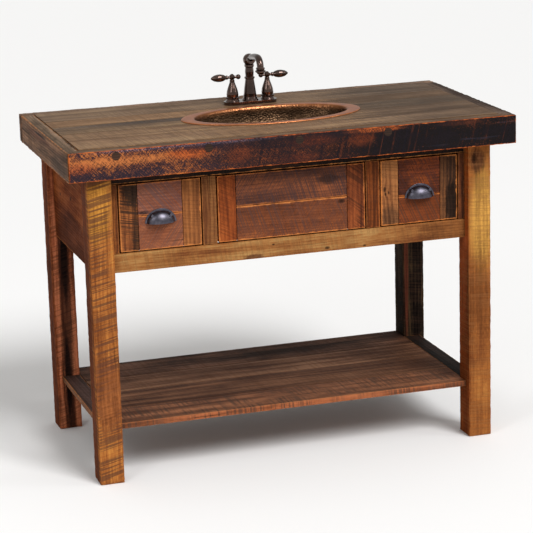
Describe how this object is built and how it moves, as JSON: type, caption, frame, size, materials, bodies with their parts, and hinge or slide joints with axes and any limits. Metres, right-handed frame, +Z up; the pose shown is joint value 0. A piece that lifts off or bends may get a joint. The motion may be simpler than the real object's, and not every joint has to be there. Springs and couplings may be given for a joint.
{
  "type": "bathroom vanity cabinet",
  "caption": "Open-stand bathroom vanity in reclaimed wood: thick plank counter with oval copper basin and two-handle tap, framed drawers with cup pulls, low plank shelf.",
  "frame": {"origin": "on the floor, at the middle of the footprint", "axes": "+X to the right seen from the front, the front faces -Y, +Z up"},
  "size_m": [1.22, 0.62, 1.0495],
  "materials": {
    "post_wood": "rough-sawn, oiled",
    "apron_wood": "rough-sawn, oiled",
    "frame_wood": "rough-sawn, oiled",
    "panel_wood": "rough-sawn, oiled",
    "front_wood": "rough-sawn, oiled",
    "box_wood": "planed, clear coat",
    "plywood": "sanded",
    "inner_wood": "planed, uncoated",
    "counter_wood": "weathered, satin coat",
    "edging_wood": "hewn and worn, satin coat",
    "plug_wood": "end grain",
    "shelf_wood": "rough-sawn, satin coat",
    "shelf_end_wood": "weathered, satin coat",
    "copper": "hammered, antiqued",
    "drain_bronze": "oil-rubbed",
    "tube_brass": "bare",
    "tap_bronze": "oil-rubbed, gloss",
    "pull_bronze": "dark bronze, satin",
    "steel": "zinc plated"
  },
  "bodies": {
    "stand": {"apron_back": "apron_wood", "apron_left": "apron_wood", "apron_right": "apron_wood", "bottom_rail": "frame_wood", "counter_battens": "inner_wood", "counter_board_1": "counter_wood", "counter_board_2": "counter_wood", "counter_board_3": "counter_wood", "counter_board_4": "counter_wood", "counter_board_5": "counter_wood", "drawer_guides": "inner_wood", "drawer_ledges": "inner_wood", "edging_back": "edging_wood", "edging_front": "edging_wood", "edging_left": "edging_wood", "edging_plugs": "plug_wood", "edging_right": "edging_wood", "edging_screws": "steel", "end_stiles": "frame_wood", "leg_back_left": "post_wood", "leg_back_right": "post_wood", "leg_front_left": "post_wood", "leg_front_right": "post_wood", "mid_stiles": "frame_wood", "panel_cleats": "inner_wood", "panel_lower_board": "panel_wood", "panel_stiles": "panel_wood", "panel_upper_board": "panel_wood", "shelf_board_1": "shelf_wood", "shelf_board_2": "shelf_wood", "shelf_board_3": "shelf_wood", "shelf_board_4": "shelf_wood", "shelf_cleats": "inner_wood", "shelf_end_left": "shelf_end_wood", "shelf_end_right": "shelf_end_wood", "sink": "copper", "sink_drain": "drain_bronze", "tailpiece": "tube_brass", "tap_aerator": "tap_bronze", "tap_body": "tap_bronze", "tap_column": "tap_bronze", "tap_nuts": "tube_brass", "tap_spout": "tap_bronze", "top_rail": "frame_wood"},
    "left_drawer": {"left_drawer_bottom": "plywood", "left_drawer_ends": "box_wood", "left_drawer_front_stiles": "front_wood", "left_drawer_lower_board": "front_wood", "left_drawer_pull": "pull_bronze", "left_drawer_sides": "box_wood", "left_drawer_upper_board": "front_wood"},
    "right_drawer": {"right_drawer_bottom": "plywood", "right_drawer_ends": "box_wood", "right_drawer_front_stiles": "front_wood", "right_drawer_lower_board": "front_wood", "right_drawer_pull": "pull_bronze", "right_drawer_sides": "box_wood", "right_drawer_upper_board": "front_wood"},
    "left_handle": {"handle_left": "tap_bronze"},
    "right_handle": {"handle_right": "tap_bronze"}
  },
  "joints": [
    {"name": "left_drawer_slide", "type": "slide", "parent": "stand", "child": "left_drawer", "axis": [0, -1, 0], "range_m": [0, 0.34]},
    {"name": "right_drawer_slide", "type": "slide", "parent": "stand", "child": "right_drawer", "axis": [0, -1, 0], "range_m": [0, 0.34]},
    {"name": "left_handle_turn", "type": "hinge", "parent": "stand", "child": "left_handle", "pos_m": [-0.0318, 0.174, 0.978], "axis": [0, 0, 1], "range_deg": [0, 90]},
    {"name": "right_handle_turn", "type": "hinge", "parent": "stand", "child": "right_handle", "pos_m": [0.0698, 0.174, 0.978], "axis": [0, 0, 1], "range_deg": [-90, 0]}
  ]
}
